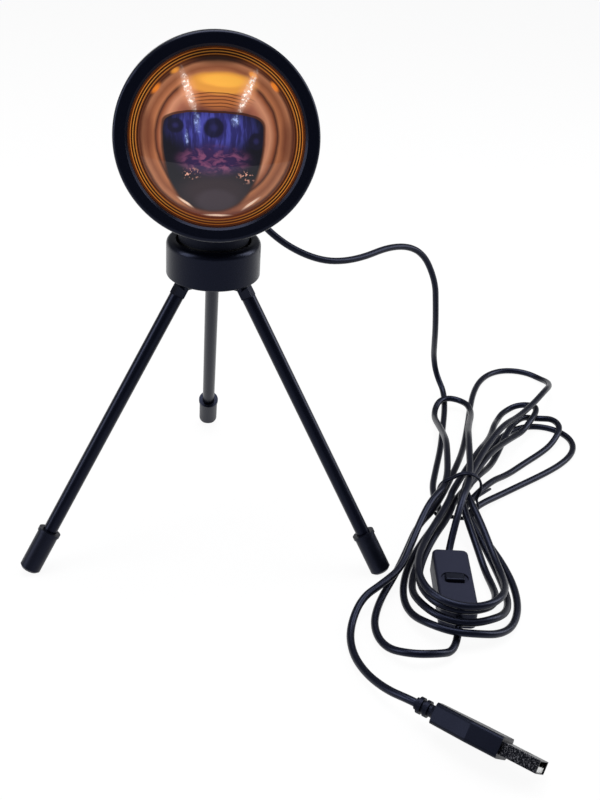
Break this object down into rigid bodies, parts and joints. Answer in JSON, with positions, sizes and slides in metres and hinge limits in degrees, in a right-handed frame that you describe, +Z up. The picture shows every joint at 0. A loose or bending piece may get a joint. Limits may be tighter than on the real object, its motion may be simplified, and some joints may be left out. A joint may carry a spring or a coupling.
{
  "type": "projection lamp",
  "caption": "Ball-shaped projection lamp on a folding tripod, with a tied lead, an in-line switch and a USB plug.",
  "frame": {"origin": "middle of the standing lamp's box at floor level, lead left out", "axes": "+Z up, -Y the way the lens faces, +X to the right as seen from the front"},
  "size_m": [0.2545, 0.2942, 0.2081],
  "materials": {
    "black_paint": "satin",
    "dark_plastic": "matte",
    "foot_plastic": "matte",
    "lead_jacket": "satin",
    "clear_lens": "gloss",
    "sunset_film": "gloss",
    "copper_mirror": "mirror",
    "board_green": "satin",
    "led_yellow": "gloss",
    "bare_aluminium": "satin",
    "bright_steel": "satin",
    "seat_rubber": "matte",
    "wire_brass": "satin",
    "white_insulation": "matte"
  },
  "bodies": {
    "stand": {"cup_holder": "black_paint", "hub_block": "black_paint", "leg_pins": "bright_steel", "hub_screw": "bright_steel", "hub_washer": "bright_steel", "cord_lead": "lead_jacket", "cord_hank": "lead_jacket", "cord_plug_side": "lead_jacket", "cord_tie": "dark_plastic", "switch_base": "dark_plastic", "switch_cover": "dark_plastic", "switch_contact": "dark_plastic", "plug_body": "lead_jacket", "plug_shell": "bright_steel", "plug_tongue": "dark_plastic", "plug_contacts": "wire_brass"},
    "seat": {"seat_magnet": "bright_steel", "seat_pad": "seat_rubber"},
    "head": {"housing_shell": "black_paint", "bezel_ring": "black_paint", "lens": "clear_lens", "lens_spacer": "dark_plastic", "lens_gasket": "seat_rubber", "sunset_filter": "sunset_film", "reflector_cup": "copper_mirror", "led_board": "board_green", "led_chip": "led_yellow", "heat_sink": "bare_aluminium", "board_screws": "bright_steel", "cord_gland": "dark_plastic", "inner_leads": "white_insulation"},
    "button": {"switch_button": "dark_plastic"},
    "leg_rear": {"leg_link_rear": "black_paint", "leg_tube_rear": "black_paint", "foot_cap_rear": "foot_plastic"},
    "leg_left": {"leg_link_left": "black_paint", "leg_tube_left": "black_paint", "foot_cap_left": "foot_plastic"},
    "leg_right": {"leg_link_right": "black_paint", "leg_tube_right": "black_paint", "foot_cap_right": "foot_plastic"}
  },
  "joints": [
    {"name": "head_swivel", "type": "hinge", "parent": "stand", "child": "seat", "pos_m": [0, -0.01996, 0.1205], "axis": [0, 0, 1], "range_deg": [-90, 90], "deforming": ["cord_lead"]},
    {"name": "head_tilt", "type": "hinge", "parent": "seat", "child": "head", "pos_m": [0, -0.01996, 0.1665], "axis": [-1, 0, 0], "range_deg": [-12, 40], "deforming": ["cord_lead"]},
    {"name": "leg_rear_fold", "type": "hinge", "parent": "stand", "child": "leg_rear", "pos_m": [0, -0.00776, 0.112], "axis": [-1, 0, 0], "range_deg": [0, 31.93]},
    {"name": "leg_left_fold", "type": "hinge", "parent": "stand", "child": "leg_left", "pos_m": [-0.01057, -0.02606, 0.112], "axis": [0.5, -0.866, 0], "range_deg": [0, 31.93]},
    {"name": "leg_right_fold", "type": "hinge", "parent": "stand", "child": "leg_right", "pos_m": [0.01057, -0.02606, 0.112], "axis": [0.5, 0.866, 0], "range_deg": [0, 31.93]},
    {"name": "button_press", "type": "slide", "parent": "stand", "child": "button", "axis": [0, 0, -1], "range_m": [0, 0.0008], "stiffness_N_per_m": 800, "springref_m": -0.001}
  ]
}
